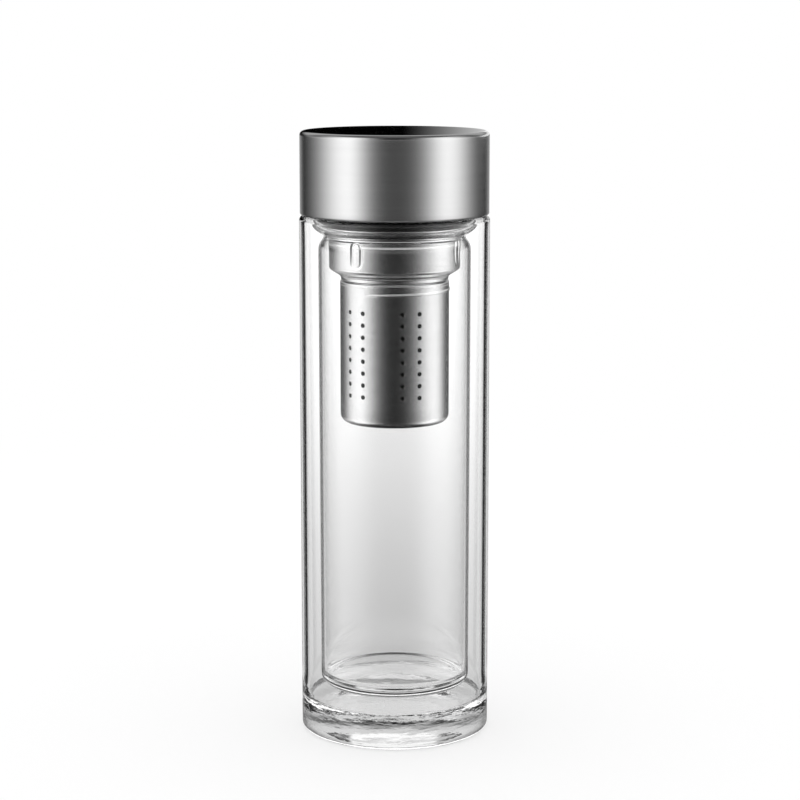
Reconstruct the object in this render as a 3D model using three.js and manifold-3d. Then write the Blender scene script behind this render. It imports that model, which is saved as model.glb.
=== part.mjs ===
// Double-wall glass tea tumbler with a steel screw lid and a two-part steel infuser.
// Sizes are in millimetres. The vessel stands on z = 0, its axis is +Z and its front is -Y.
// Turns about the axis are measured from the front towards +X, which is anticlockwise from above.

import * as THREE from 'three';
import { mergeVertices } from 'three/addons/utils/BufferGeometryUtils.js';
import Module from 'manifold-3d';

const wasm = await Module();
wasm.setup();

// Clearances between pieces
const FIT_GAP = 0.3;
const SEAT_GAP = 0.35;
const THREAD_GAP = 0.4;

// Outer glass wall and base
const BODY_RADIUS = 33.0;
const BODY_HEIGHT = 182.0;
const WALL = 2.0;
const FOOT_WALL = 2.6;
const SHOULDER_RADIUS = 1.8;
const SHOULDER_WALL = 1.3;
const BASE_THICKNESS = 12.2;
const BASE_EDGE_RADIUS = 2.2;
const PUNT_RADIUS = 22.0;
const PUNT_DEPTH = 1.2;
const NECK_HEIGHT = 17.5;
const NECK_WALL = 1.85;
const NECK_FILLET = 0.6;

// Inner glass liner
const VACUUM_GAP = 4.5;
const LINER_WALL = 1.7;
const LINER_DRAFT = 0.3;
const LINER_FLOOR = 6.3;
const LINER_FLOOR_GAP = 1.3;
const LINER_CORNER_RADIUS = 2.2;
const LINER_HEEL_RADIUS = 5.0;
const WAIST_STEP = 1.8;
const WAIST_DROP = 7.2;
const WAIST_RUN = 5.0;
const FUNNEL_PULL = 0.47;
const FUNNEL_BELOW_JOIN = 0.4;

// Lid
const LID_INSET = 0.3;
const LID_GAP = 0.3;
const LID_SHEET = 0.5;
const LID_EDGE_RADIUS = 1.6;
const LID_HEM = 1.65;
const LID_HEM_RADIUS = 0.7;
const LID_HEADROOM = 7.0;
const LID_LINER_WALL = 1.45;
const LID_CEILING = 2.2;
const PLUG_GAP = 0.4;
const PLUG_WALL = 1.4;
const PLUG_SINK = 0.6;
const GASKET_THICKNESS = 1.8;
const GASKET_WIDTH = 1.75;
const PLATE_THICKNESS = 0.6;

// Screw thread between the neck and the lid
const THREAD_HEIGHT = 1.2;
const THREAD_PITCH = 4.2;
const THREAD_TURNS = 1.25;
const THREAD_ROOT_WIDTH = 2.2;
const THREAD_CREST_WIDTH = 0.9;
const THREAD_BELOW_MOUTH = 5.75;
const THREAD_START_TURN = 0.1;

// Infuser
const SHEET = 0.5;
const COLLAR_DEPTH = 10.2;
const COLLAR_SHOULDER_HEIGHT = 4.5;
const COLLAR_LIP_HEIGHT = 0.6;
const COLLAR_SHOULDER_PULL = 0.35;
const RIM_REACH = 0.62;
const FLUTE_HALF_WIDTH = 2.15;
const FLUTE_DEPTH = 0.8;
const FLUTE_LENGTH = 9.4;
const FLUTE_BELOW_WAIST = 5.2;
const FLUTE_PAIR_TURN = 16.1;
const FLUTE_PAIR_HALF_ANGLE = 51.3;
const SPIGOT_LENGTH = 5.0;
const BASKET_RADIUS = 18.9;
const BASKET_LENGTH = 49.3;
const BASKET_CORNER_RADIUS = 3.0;
const JOINT_GROOVE = 0.6;
const LEDGE_DEPTH = 0.6;
const LEDGE_HALF_WIDTH = 0.7;
const LEDGE_SEAT = 0.1;
const DISC_THICKNESS = 0.6;

// Rolled thread between the collar's spigot and the basket
const ROLLED_PITCH = 2.4;
const ROLLED_TURNS = 0.7;
const ROLLED_HEIGHT = 0.65;
const ROLLED_ROOT_WIDTH = 1.0;
const ROLLED_CREST_WIDTH = 0.5;
const ROLLED_GROOVE_DEPTH = 0.25;
const ROLLED_OFFSET = 1.1;
const ROLLED_START_TURN = 0.05;
const ROLLED_ABOVE_FOOT = 0.75;

// Perforations
const HOLE_RADIUS = 0.75;
const HOLE_ROWS = 8;
const HOLE_PITCH = 4.13;
const FIRST_ROW_DROP = 9.7;
const HOLE_PAIRS = 6;
const HOLE_PAIR_TURN = 15.5;
const HOLE_PAIR_HALF_ANGLE = 9;
const DISC_HOLE_RADIUS = 0.9;
const DISC_HOLE_RINGS = 2;
const DISC_RING_STEP = 5.6;
const DISC_HOLES_PER_RING = 6;

// How finely round shapes are cut
const ROUND_STEPS = 40;
const BASKET_STEPS = 60;
const ARC_STEPS = 3;
const BEND_STEPS = 4;
const HOLE_SIDES = 6;
const THREAD_STEPS_PER_TURN = 40;
const THREAD_FADE_STEPS = 3;
const SUNK = 0.25;
const FADED = 0.15;
const TIDY = 0.02;

// Places worked out from the sizes above
const LID_RADIUS = BODY_RADIUS - LID_INSET;
const LID_LINER_RADIUS = LID_RADIUS - LID_SHEET - FIT_GAP;
const LID_BORE = LID_LINER_RADIUS - LID_LINER_WALL;
const NECK_RADIUS = LID_BORE - THREAD_GAP - THREAD_HEIGHT;
const MOUTH_BORE = NECK_RADIUS - NECK_WALL;
const MOUTH_Z = BODY_HEIGHT + NECK_HEIGHT;
const JOIN_Z = BODY_HEIGHT - SHOULDER_WALL;
const FUNNEL_TOP_Z = JOIN_Z - FUNNEL_BELOW_JOIN;
const LINER_RADIUS = BODY_RADIUS - WALL - VACUUM_GAP;
const LINER_BORE = LINER_RADIUS - LINER_WALL;
const FLOOR_Z = BASE_THICKNESS + LINER_FLOOR_GAP + LINER_FLOOR;
const WAIST_Z = BODY_HEIGHT - WAIST_DROP;
const WAIST_BORE = LINER_BORE - WAIST_STEP;
const GASKET_TOP_Z = MOUTH_Z + GASKET_THICKNESS;
const PLUG_RADIUS = MOUTH_BORE - PLUG_GAP;
const PLUG_BORE = PLUG_RADIUS - PLUG_WALL;
const PLUG_FOOT_Z = FUNNEL_TOP_Z - PLUG_SINK;
const LID_BOTTOM_Z = BODY_HEIGHT + LID_GAP;
const LID_TOP_Z = GASKET_TOP_Z + LID_CEILING + LID_HEADROOM + LID_SHEET;
const COLLAR_RADIUS = WAIST_BORE - FIT_GAP;
const COLLAR_FOOT_Z = WAIST_Z - COLLAR_DEPTH;
const SPIGOT_TOP_Z = COLLAR_FOOT_Z - COLLAR_SHOULDER_HEIGHT;
const SPIGOT_FOOT_Z = SPIGOT_TOP_Z - SPIGOT_LENGTH;
const BASKET_BORE = BASKET_RADIUS - SHEET;
const BASKET_TOP_Z = SPIGOT_TOP_Z - JOINT_GROOVE;
const BASKET_FOOT_Z = BASKET_TOP_Z - BASKET_LENGTH;
const SPIGOT_RADIUS = BASKET_BORE - FIT_GAP - ROLLED_HEIGHT;
const DISC_TOP_Z = SPIGOT_FOOT_Z - FIT_GAP;
const DISC_FOOT_Z = DISC_TOP_Z - DISC_THICKNESS;
const LEDGE_TOP_Z = DISC_FOOT_Z - LEDGE_SEAT;

/** A point of a profile: distance from the axis, then height. */
function at(radius, height) {
  return new THREE.Vector2(radius, height);
}

/** Points along a round stretch of a profile, from one angle to another in degrees. */
function arc(radius, height, bend, fromDegrees, toDegrees) {
  const from = THREE.MathUtils.degToRad(fromDegrees);
  const to = THREE.MathUtils.degToRad(toDegrees);
  return new THREE.EllipseCurve(radius, height, bend, bend, from, to, to < from).getPoints(ARC_STEPS);
}

/** Points along a smooth bend between two profile points, steered by two more. */
function bend(start, startPull, endPull, end) {
  return new THREE.CubicBezierCurve(start, startPull, endPull, end).getPoints(BEND_STEPS);
}

/** A profile line moved sideways by a distance, to the right of its own direction. */
function beside(line, distance) {
  const headings = line.slice(1).map((point, i) => point.clone().sub(line[i]).normalize());
  return line.map((point, i) => {
    const before = headings[Math.max(i - 1, 0)];
    const after = headings[Math.min(i, headings.length - 1)];
    const mean = before.clone().add(after).normalize();
    const stretch = distance / Math.max(mean.dot(after), 0.3);
    return at(point.x + mean.y * stretch, point.y - mean.x * stretch);
  });
}

/** A closed profile of one thickness on the inner side of a line that runs up the outside. */
function sheetProfile(line, thickness) {
  return [...line, ...beside(line, -thickness).reverse()];
}

/** A geometry's triangles as a solid, with its shared corners joined. */
function solid(geometry) {
  const bare = new THREE.BufferGeometry();
  bare.setAttribute('position', geometry.getAttribute('position'));
  bare.setIndex(geometry.getIndex());
  const joined = mergeVertices(bare, 1e-4);
  const corners = joined.getIndex().array;
  const kept = [];
  for (let i = 0; i < corners.length; i += 3) {
    const [a, b, c] = corners.slice(i, i + 3);
    if (a !== b && b !== c && c !== a) {
      kept.push(a, b, c);
    }
  }
  return new wasm.Manifold(new wasm.Mesh({
    numProp: 3,
    vertProperties: Float32Array.from(joined.getAttribute('position').array),
    triVerts: Uint32Array.from(kept),
  }));
}

/** The solid swept by a profile that runs up its outside, turned once about the axis. */
function revolve(profile, steps = ROUND_STEPS, startDegrees = 0) {
  const onAxis = profile[0].x === 0 && profile[profile.length - 1].x === 0;
  const loop = onAxis ? profile : [...profile, profile[0]];
  const start = THREE.MathUtils.degToRad(startDegrees);
  const lathe = new THREE.LatheGeometry(loop, steps, start, 2 * Math.PI);
  lathe.rotateX(Math.PI / 2);
  return solid(lathe);
}

/** The solid between four-cornered sections in a row, closed at both ends. */
function loft(sections) {
  const corners = sections.flat();
  const faces = [0, 2, 1, 0, 3, 2];
  for (let row = 0; row < sections.length - 1; row += 1) {
    for (let side = 0; side < 4; side += 1) {
      const a = 4 * row + side;
      const b = 4 * row + (side + 1) % 4;
      faces.push(a, b, b + 4, a, b + 4, a + 4);
    }
  }
  const last = 4 * (sections.length - 1);
  faces.push(last, last + 1, last + 2, last, last + 2, last + 3);
  const geometry = new THREE.BufferGeometry().setFromPoints(corners);
  geometry.setIndex(faces);
  return solid(geometry);
}

/** A point in space from its distance to the axis, its turn from the front and its height. */
function around(radius, turn, height) {
  return new THREE.Vector3(radius * Math.sin(turn), -radius * Math.cos(turn), height);
}

/**
 * A right-hand thread ridge. Its root is sunk into the wall that carries it,
 * and it fades out at both ends. The crest lies outside the root on a neck and inside it in a cap.
 */
function threadRidge({ root, crest, pitch, turns, startTurn, startZ, rootWidth, crestWidth }) {
  const outward = Math.sign(crest - root);
  const steps = Math.ceil(turns * THREAD_STEPS_PER_TURN);
  const sections = [];
  for (let step = 0; step <= steps; step += 1) {
    const along = (step / steps) * turns;
    const turn = 2 * Math.PI * (startTurn + along);
    const height = startZ + pitch * along;
    const fade = Math.min(1, step / THREAD_FADE_STEPS, (steps - step) / THREAD_FADE_STEPS);
    const top = root + (crest - root) * fade - outward * FADED * (1 - fade);
    const foot = root - outward * SUNK;
    const section = [
      around(foot, turn, height - rootWidth / 2),
      around(top, turn, height - crestWidth / 2),
      around(top, turn, height + crestWidth / 2),
      around(foot, turn, height + rootWidth / 2),
    ];
    sections.push(outward > 0 ? section.reverse() : section);
  }
  return loft(sections);
}

/** Short round pins that cut holes through a wall: their axes run out from the tumbler's axis. */
function wallPin(radius, turn, height, holeRadius, length) {
  const pin = new THREE.CylinderGeometry(holeRadius, holeRadius, length, HOLE_SIDES);
  pin.rotateZ(Math.PI / 2);
  pin.rotateZ(turn - Math.PI / 2);
  const centre = around(radius, turn, height);
  pin.translate(centre.x, centre.y, centre.z);
  return solid(pin);
}

/** The liner's inner line around its waist, from the straight bore up to the neck. */
const waistBend = bend(
  at(LINER_BORE, WAIST_Z - WAIST_RUN),
  at(LINER_BORE, WAIST_Z - WAIST_RUN / 3),
  at(WAIST_BORE, WAIST_Z - WAIST_RUN / 2),
  at(WAIST_BORE, WAIST_Z),
);
const funnelHeight = FUNNEL_TOP_Z - WAIST_Z;
const funnel = new THREE.CubicBezierCurve(
  at(WAIST_BORE, WAIST_Z),
  at(WAIST_BORE, WAIST_Z + funnelHeight * FUNNEL_PULL),
  at(MOUTH_BORE, FUNNEL_TOP_Z - funnelHeight * FUNNEL_PULL),
  at(MOUTH_BORE, FUNNEL_TOP_Z),
);

/** Outer tube, its rounded shoulder and the threaded neck. */
function outerGlassWall() {
  const shoulderZ = BODY_HEIGHT - SHOULDER_RADIUS;
  const shoulderBend = Math.max(SHOULDER_RADIUS - SHOULDER_WALL, 0.2);
  const bore = BODY_RADIUS - WALL;
  const lip = NECK_WALL * 0.4;
  const tube = revolve([
    at(BODY_RADIUS - FOOT_WALL, BASE_THICKNESS),
    at(BODY_RADIUS, BASE_THICKNESS),
    ...arc(BODY_RADIUS - SHOULDER_RADIUS, shoulderZ, SHOULDER_RADIUS, 0, 90),
    ...arc(NECK_RADIUS + NECK_FILLET, BODY_HEIGHT + NECK_FILLET, NECK_FILLET, 270, 180),
    ...arc(NECK_RADIUS - lip, MOUTH_Z - lip, lip, 0, 90),
    ...arc(MOUTH_BORE + lip, MOUTH_Z - lip, lip, 90, 180),
    at(MOUTH_BORE, JOIN_Z),
    ...arc(bore - shoulderBend, JOIN_Z - shoulderBend, shoulderBend, 90, 0),
  ]);
  const ridge = threadRidge({
    root: NECK_RADIUS,
    crest: NECK_RADIUS + THREAD_HEIGHT,
    pitch: THREAD_PITCH,
    turns: THREAD_TURNS,
    startTurn: THREAD_START_TURN,
    startZ: MOUTH_Z - THREAD_BELOW_MOUTH - THREAD_TURNS * THREAD_PITCH,
    rootWidth: THREAD_ROOT_WIDTH,
    crestWidth: THREAD_CREST_WIDTH,
  });
  return tube.add(ridge);
}

/** Inner cup: a slightly tapered tube with a thick floor, a waist and a funnel below the neck. */
function innerGlassLiner() {
  const footRadius = LINER_RADIUS - LINER_DRAFT;
  const footBore = footRadius - LINER_WALL;
  const inner = [
    ...arc(
      footBore - LINER_CORNER_RADIUS,
      FLOOR_Z + LINER_CORNER_RADIUS,
      LINER_CORNER_RADIUS,
      270,
      360,
    ),
    ...waistBend,
    ...funnel.getPoints(BEND_STEPS).slice(1),
    at(MOUTH_BORE, JOIN_Z),
  ];
  const underZ = FLOOR_Z - LINER_FLOOR;
  const sides = beside(inner.slice(ARC_STEPS + 1), LINER_WALL);
  sides[sides.length - 1].y = JOIN_Z;
  return revolve([
    at(0, underZ),
    ...arc(footRadius - LINER_HEEL_RADIUS, underZ + LINER_HEEL_RADIUS, LINER_HEEL_RADIUS, 270, 360),
    ...sides,
    ...inner.reverse(),
    at(0, FLOOR_Z),
  ]);
}

/** Solid base with a rounded lower edge and a shallow hollow underneath, so that it stands on a ring. */
function glassBase() {
  const puntBend = (PUNT_RADIUS ** 2 + PUNT_DEPTH ** 2) / (2 * PUNT_DEPTH);
  const puntAngle = THREE.MathUtils.radToDeg(Math.asin(PUNT_RADIUS / puntBend));
  return revolve([
    at(0, PUNT_DEPTH),
    ...arc(0, PUNT_DEPTH - puntBend, puntBend, 90, 90 - puntAngle).slice(1),
    ...arc(BODY_RADIUS - BASE_EDGE_RADIUS, BASE_EDGE_RADIUS, BASE_EDGE_RADIUS, 270, 360),
    at(BODY_RADIUS, BASE_THICKNESS),
    at(0, BASE_THICKNESS),
  ]);
}

/** Upper infuser part: a flared rim that hangs on the glass waist, a fluted tube and a threaded spigot. */
function infuserCollar() {
  const rim = [];
  for (let step = 0; step <= BEND_STEPS; step += 1) {
    const along = (step / BEND_STEPS) * RIM_REACH;
    const point = funnel.getPoint(along);
    const heading = funnel.getTangent(along);
    rim.push(at(point.x - heading.y * SEAT_GAP, point.y + heading.x * SEAT_GAP));
  }
  const lipRadius = BASKET_RADIUS - SHEET / 2;
  const lipTop = SPIGOT_TOP_Z + COLLAR_LIP_HEIGHT;
  const pull = (COLLAR_FOOT_Z - lipTop) * COLLAR_SHOULDER_PULL;
  const line = [
    at(SPIGOT_RADIUS, SPIGOT_FOOT_Z),
    at(SPIGOT_RADIUS, SPIGOT_TOP_Z),
    at(lipRadius, SPIGOT_TOP_Z),
    ...bend(
      at(lipRadius, lipTop),
      at(lipRadius, lipTop + pull),
      at(COLLAR_RADIUS, COLLAR_FOOT_Z - pull),
      at(COLLAR_RADIUS, COLLAR_FOOT_Z),
    ),
    at(COLLAR_RADIUS, WAIST_Z - FIT_GAP),
    ...rim,
  ];
  const filled = revolve([
    at(0, SPIGOT_FOOT_Z),
    ...line,
    at(0, line[line.length - 1].y),
  ]);
  const ridge = threadRidge({
    root: SPIGOT_RADIUS,
    crest: SPIGOT_RADIUS + ROLLED_HEIGHT,
    pitch: ROLLED_PITCH,
    turns: ROLLED_TURNS,
    startTurn: ROLLED_START_TURN,
    startZ: SPIGOT_FOOT_Z + ROLLED_ABOVE_FOOT,
    rootWidth: ROLLED_ROOT_WIDTH,
    crestWidth: ROLLED_CREST_WIDTH,
  });
  const flutes = fluteTools(0);
  const skins = fluteTools(SHEET).subtract(flutes).intersect(filled);
  return revolve(sheetProfile(line, SHEET)).subtract(flutes).add(skins).add(ridge);
}

/** Upright rounded bars that press the four flutes into the collar, grown by a thickness. */
function fluteTools(grown) {
  const barRadius = (FLUTE_HALF_WIDTH ** 2 + FLUTE_DEPTH ** 2) / (2 * FLUTE_DEPTH);
  const centre = COLLAR_RADIUS - FLUTE_DEPTH + barRadius;
  const bars = [];
  for (const side of [0, 180]) {
    for (const sign of [-1, 1]) {
      const straight = FLUTE_LENGTH - 2 * FLUTE_HALF_WIDTH;
      const bar = new THREE.CapsuleGeometry(barRadius + grown, straight, 3, 12);
      bar.rotateX(Math.PI / 2);
      const turn = THREE.MathUtils.degToRad(side + FLUTE_PAIR_TURN + sign * FLUTE_PAIR_HALF_ANGLE);
      const place = around(centre, turn, WAIST_Z - FLUTE_BELOW_WAIST);
      bar.translate(place.x, place.y, place.z);
      bars.push(solid(bar));
    }
  }
  return wasm.Manifold.union(bars);
}

/** Perforated disc that rests on the basket's ledge and keeps the leaves below the collar. */
function strainerDisc() {
  const radius = BASKET_BORE - FIT_GAP;
  const disc = revolve([
    at(0, DISC_FOOT_Z),
    at(radius, DISC_FOOT_Z),
    at(radius, DISC_TOP_Z),
    at(0, DISC_TOP_Z),
  ]);
  const middle = (DISC_FOOT_Z + DISC_TOP_Z) / 2;
  const holes = [];
  for (let ring = 0; ring <= DISC_HOLE_RINGS; ring += 1) {
    const count = Math.max(ring * DISC_HOLES_PER_RING, 1);
    for (let i = 0; i < count; i += 1) {
      const centre = around(ring * DISC_RING_STEP, (2 * Math.PI * i) / count, middle);
      const length = 3 * DISC_THICKNESS;
      const pin = new THREE.CylinderGeometry(DISC_HOLE_RADIUS, DISC_HOLE_RADIUS, length, HOLE_SIDES);
      pin.rotateX(Math.PI / 2);
      pin.translate(centre.x, centre.y, centre.z);
      holes.push(solid(pin));
    }
  }
  return disc.subtract(wasm.Manifold.union(holes));
}

/** Lower infuser part: a drawn cup with rows of holes, a ledge inside and a rolled thread at its top. */
function infuserBasket() {
  const line = [
    at(0, BASKET_FOOT_Z),
    ...arc(
      BASKET_RADIUS - BASKET_CORNER_RADIUS,
      BASKET_FOOT_Z + BASKET_CORNER_RADIUS,
      BASKET_CORNER_RADIUS,
      270,
      360,
    ),
    at(BASKET_RADIUS, BASKET_TOP_Z),
  ];
  const facetTurn = HOLE_PAIR_TURN - HOLE_PAIR_HALF_ANGLE - 180 / BASKET_STEPS;
  const cup = revolve(sheetProfile(line, SHEET), BASKET_STEPS, facetTurn);
  const ledge = revolve([
    at(BASKET_BORE + SUNK, LEDGE_TOP_Z - 2 * LEDGE_HALF_WIDTH),
    at(BASKET_BORE + SUNK, LEDGE_TOP_Z),
    at(BASKET_BORE - LEDGE_DEPTH, LEDGE_TOP_Z - LEDGE_HALF_WIDTH),
  ], BASKET_STEPS, facetTurn);
  const thread = {
    pitch: ROLLED_PITCH,
    turns: ROLLED_TURNS,
    startTurn: ROLLED_START_TURN,
    startZ: SPIGOT_FOOT_Z + ROLLED_ABOVE_FOOT + ROLLED_OFFSET,
    rootWidth: ROLLED_ROOT_WIDTH,
    crestWidth: ROLLED_CREST_WIDTH,
  };
  const ridge = threadRidge({ root: BASKET_BORE, crest: BASKET_BORE - ROLLED_HEIGHT, ...thread });
  const groove = threadRidge({ root: BASKET_RADIUS, crest: BASKET_RADIUS - ROLLED_GROOVE_DEPTH, ...thread });
  return cup.subtract(basketHoles()).add(ledge).add(ridge).subtract(groove);
}

/** Pins for the holes in the basket's wall: pairs of columns in even rows. */
function basketHoles() {
  const pins = [];
  for (let pair = 0; pair < HOLE_PAIRS; pair += 1) {
    for (const side of [-1, 1]) {
      const degrees = HOLE_PAIR_TURN + side * HOLE_PAIR_HALF_ANGLE + (360 * pair) / HOLE_PAIRS;
      for (let row = 0; row < HOLE_ROWS; row += 1) {
        const height = BASKET_TOP_Z - FIRST_ROW_DROP - row * HOLE_PITCH;
        const turn = THREE.MathUtils.degToRad(degrees);
        pins.push(wallPin(BASKET_RADIUS - SHEET / 2, turn, height, HOLE_RADIUS, 4 * SHEET));
      }
    }
  }
  return wasm.Manifold.union(pins);
}

/** Soft ring that seals the lid on the mouth. */
function lidGasket() {
  const outer = NECK_RADIUS - FIT_GAP / 2;
  return revolve([
    at(outer - GASKET_WIDTH, MOUTH_Z),
    at(outer, MOUTH_Z),
    at(outer, GASKET_TOP_Z),
    at(outer - GASKET_WIDTH, GASKET_TOP_Z),
  ]);
}

/** Steel disc inside the plug, under the lid's ceiling. */
function lidInnerPlate() {
  const radius = PLUG_BORE - FIT_GAP;
  return revolve([
    at(0, GASKET_TOP_Z - PLATE_THICKNESS),
    at(radius, GASKET_TOP_Z - PLATE_THICKNESS),
    at(radius, GASKET_TOP_Z),
    at(0, GASKET_TOP_Z),
  ]);
}

/** Moulded cap inside the steel shell: a ceiling, a threaded skirt and a plug that fills the mouth. */
function lidThreadLiner() {
  const ceilingTop = GASKET_TOP_Z + LID_CEILING;
  const skirtFoot = LID_BOTTOM_Z + LID_SHEET + FIT_GAP;
  const skirtTop = LID_TOP_Z - LID_SHEET - LID_EDGE_RADIUS;
  const cap = revolve([
    at(0, GASKET_TOP_Z),
    at(PLUG_BORE, GASKET_TOP_Z),
    at(PLUG_BORE, PLUG_FOOT_Z),
    at(PLUG_RADIUS, PLUG_FOOT_Z),
    at(PLUG_RADIUS, GASKET_TOP_Z),
    at(LID_BORE, GASKET_TOP_Z),
    at(LID_BORE, skirtFoot),
    at(LID_LINER_RADIUS, skirtFoot),
    at(LID_LINER_RADIUS, skirtTop),
    at(LID_BORE, skirtTop),
    at(LID_BORE, ceilingTop),
    at(0, ceilingTop),
  ]);
  const neckRidgeZ = MOUTH_Z - THREAD_BELOW_MOUTH - THREAD_TURNS * THREAD_PITCH;
  const ridge = threadRidge({
    root: LID_BORE,
    crest: LID_BORE - THREAD_HEIGHT,
    pitch: THREAD_PITCH,
    turns: THREAD_TURNS,
    startTurn: THREAD_START_TURN,
    startZ: neckRidgeZ - (THREAD_ROOT_WIDTH + THREAD_CREST_WIDTH) / 2 - THREAD_GAP / 2,
    rootWidth: THREAD_ROOT_WIDTH,
    crestWidth: THREAD_CREST_WIDTH,
  });
  return cap.add(ridge);
}

/** Drawn steel cap with a rounded top edge and a hem turned in under the skirt. */
function lidShell() {
  return revolve(sheetProfile([
    at(LID_RADIUS - LID_HEM, LID_BOTTOM_Z),
    ...arc(LID_RADIUS - LID_HEM_RADIUS, LID_BOTTOM_Z + LID_HEM_RADIUS, LID_HEM_RADIUS, 270, 360),
    ...arc(LID_RADIUS - LID_EDGE_RADIUS, LID_TOP_Z - LID_EDGE_RADIUS, LID_EDGE_RADIUS, 0, 90),
    at(0, LID_TOP_Z),
  ], LID_SHEET));
}

/** Finish of one kind of stuff, as seen in daylight. */
const finishes = {
  clearGlass: { color: 0xe9efee, roughness: 0.03, metalness: 0, transparent: true, opacity: 0.35 },
  brushedSteel: { color: 0xb9bbbd, roughness: 0.32, metalness: 1 },
  polishedSteel: { color: 0xc6c8ca, roughness: 0.16, metalness: 1 },
  blackPlastic: { color: 0x1b1c1d, roughness: 0.5, metalness: 0 },
  whiteSilicone: { color: 0xdcdedb, roughness: 0.6, metalness: 0 },
};

/** A named mesh for one piece, from its solid. */
function piece(name, shape, finish) {
  const mesh = shape.simplify(TIDY).getMesh();
  const geometry = new THREE.BufferGeometry();
  geometry.setAttribute('position', new THREE.BufferAttribute(mesh.vertProperties, 3));
  geometry.setIndex(new THREE.BufferAttribute(mesh.triVerts, 1));
  geometry.computeVertexNormals();
  const named = new THREE.Mesh(geometry, new THREE.MeshStandardMaterial(finishes[finish]));
  named.name = name;
  return named;
}

const glass = new THREE.Group();
glass.add(piece('outer_glass_wall', outerGlassWall(), 'clearGlass'));
glass.add(piece('inner_glass_liner', innerGlassLiner(), 'clearGlass'));
glass.add(piece('glass_base', glassBase(), 'clearGlass'));

const infuser = new THREE.Group();
infuser.add(piece('infuser_collar', infuserCollar(), 'polishedSteel'));
infuser.add(piece('strainer_disc', strainerDisc(), 'polishedSteel'));
infuser.add(piece('infuser_basket', infuserBasket(), 'polishedSteel'));

const lid = new THREE.Group();
lid.add(piece('lid_gasket', lidGasket(), 'whiteSilicone'));
lid.add(piece('lid_inner_plate', lidInnerPlate(), 'polishedSteel'));
lid.add(piece('lid_thread_liner', lidThreadLiner(), 'blackPlastic'));
lid.add(piece('lid_shell', lidShell(), 'brushedSteel'));

const tumbler = new THREE.Group();
tumbler.add(glass, infuser, lid);

export default tumbler;
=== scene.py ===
"""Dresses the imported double-wall glass tea tumbler for its studio picture.

A profile is a list of points, each a distance from the axis and a height, in millimetres. A turn is an angle
about the axis, from the front (-Y) towards +X. Meshes go to Blender in metres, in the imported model's frame.
"""

import logging
import math
from dataclasses import dataclass
from enum import Enum
from typing import Any, Callable

import bmesh
import bpy
import numpy as np
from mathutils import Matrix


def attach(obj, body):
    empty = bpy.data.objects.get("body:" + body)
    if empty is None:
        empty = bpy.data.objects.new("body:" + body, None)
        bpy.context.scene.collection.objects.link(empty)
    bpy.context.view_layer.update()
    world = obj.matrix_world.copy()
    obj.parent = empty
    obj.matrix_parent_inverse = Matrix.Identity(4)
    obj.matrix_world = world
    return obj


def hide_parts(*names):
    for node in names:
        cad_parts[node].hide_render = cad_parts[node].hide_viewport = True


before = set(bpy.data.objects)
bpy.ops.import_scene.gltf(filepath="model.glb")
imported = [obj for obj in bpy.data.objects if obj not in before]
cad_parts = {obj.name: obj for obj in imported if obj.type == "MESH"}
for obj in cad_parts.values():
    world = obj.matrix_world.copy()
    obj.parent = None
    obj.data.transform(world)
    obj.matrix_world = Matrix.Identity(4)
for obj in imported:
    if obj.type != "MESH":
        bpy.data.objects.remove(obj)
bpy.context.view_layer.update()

Array = np.ndarray
Point = tuple[float, float]
Band = tuple[float, float, float, float]
LOG = logging.getLogger("tumbler")

MM = 0.001
MERGE_MM = 0.001
SHARP_EDGE = math.radians(38)
FULL_TURN = 2 * math.pi
ROUND_COLUMNS = 192
ARC_STEPS = 8
BEND_STEPS = 14
THREAD_FADE = 0.09
PRESSED_POWER = 1.5
SAME_POINT = 1e-6


class Slot(Enum):
    """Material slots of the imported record."""

    CLEAR_GLASS = "clear_glass"
    POLISHED_STEEL = "polished_steel"
    BRUSHED_STEEL = "brushed_steel"
    BLACK_PLASTIC = "black_plastic"
    SILICONE = "silicone"


class Body(Enum):
    """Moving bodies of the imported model."""

    GLASS = "glass"
    INFUSER = "infuser"
    STRAINER = "strainer"
    BASKET = "basket"
    GASKET = "gasket"
    PLATE = "plate"
    CAP = "cap"


@dataclass
class Surface:
    """Points in millimetres and the four-cornered faces between them."""

    points: Array
    faces: Array

    @classmethod
    def from_grid(cls, points: Array, wrap_rows: bool = False, wrap_columns: bool = False,
                  keep: Array | None = None) -> "Surface":
        """Joins grids of points into faces, each from a point to its next row and next column.

        Args:
            points: Grid of points, of shape (..., rows, columns, 3).
            wrap_rows: Whether the last row meets the first.
            wrap_columns: Whether the last column meets the first.
            keep: Which faces to keep, of shape (rows of faces, columns of faces), or all.

        Returns:
            The surface of all the grids.
        """
        index = np.arange(points[..., 0].size).reshape(points.shape[:-1])
        if wrap_rows:
            index = np.concatenate((index, index[..., :1, :]), axis=-2)
        if wrap_columns:
            index = np.concatenate((index, index[..., :1]), axis=-1)
        corners = (index[..., :-1, :-1], index[..., 1:, :-1], index[..., 1:, 1:], index[..., :-1, 1:])
        faces = np.stack(corners, axis=-1)
        faces = faces.reshape(-1, 4) if keep is None else faces[keep]
        return cls(points.reshape(-1, 3), faces)

    def flipped(self) -> "Surface":
        """The same surface facing the other way."""
        return Surface(self.points, self.faces[:, ::-1])

    def joined(self, *others: "Surface") -> "Surface":
        """One surface out of this one and the others."""
        parts = (self, *others)
        starts = np.cumsum([0] + [len(part.points) for part in parts[:-1]])
        faces = [part.faces + start for part, start in zip(parts, starts)]
        return Surface(np.concatenate([part.points for part in parts]), np.concatenate(faces))


def arc(radius: float, height: float, bend: float, start: float, stop: float,
        steps: int = ARC_STEPS) -> Array:
    """Points on a circle of radius bend about (radius, height), from one angle to another in degrees."""
    angles = np.radians(np.linspace(start, stop, steps + 1))
    return np.stack((radius + bend * np.cos(angles), height + bend * np.sin(angles)), axis=-1)


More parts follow.
